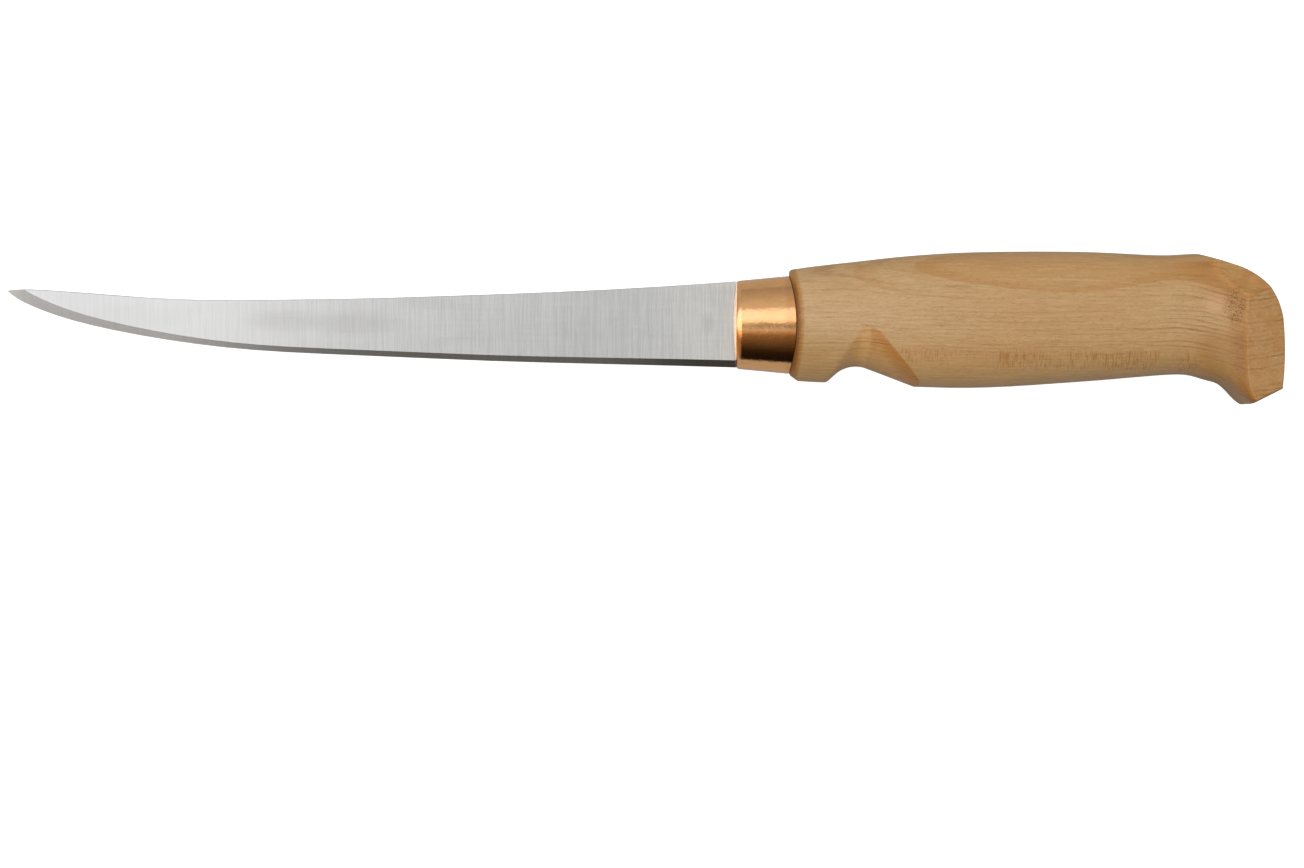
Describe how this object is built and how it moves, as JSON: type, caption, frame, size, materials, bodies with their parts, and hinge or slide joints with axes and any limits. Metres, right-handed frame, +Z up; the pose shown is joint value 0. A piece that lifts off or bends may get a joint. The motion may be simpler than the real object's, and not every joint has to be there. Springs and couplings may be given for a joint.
{
  "type": "fillet knife",
  "caption": "Fillet knife with a slim upswept blade, a copper-coloured ferrule and a shaped birch handle with a finger notch and a beaked butt.",
  "frame": {"origin": "the middle of the bounding box's base, on the surface that the knife lies on", "axes": "+X from the tip to the butt, +Y from the cutting edge to the spine, +Z up through the thickness, out of the side that shows in the picture"},
  "size_m": [0.2691, 0.0323, 0.021],
  "materials": {
    "blade_steel": "satin ground, with fine cross-wise scratches",
    "ferrule_metal": "copper-coloured metal, drawn and polished",
    "handle_wood": "oiled birch, sanded smooth",
    "resin": "hardened resin, hidden"
  },
  "bodies": {
    "root": {"blade": "blade_steel", "ferrule": "ferrule_metal", "handle": "handle_wood", "tang_adhesive": "resin"}
  },
  "joints": []
}
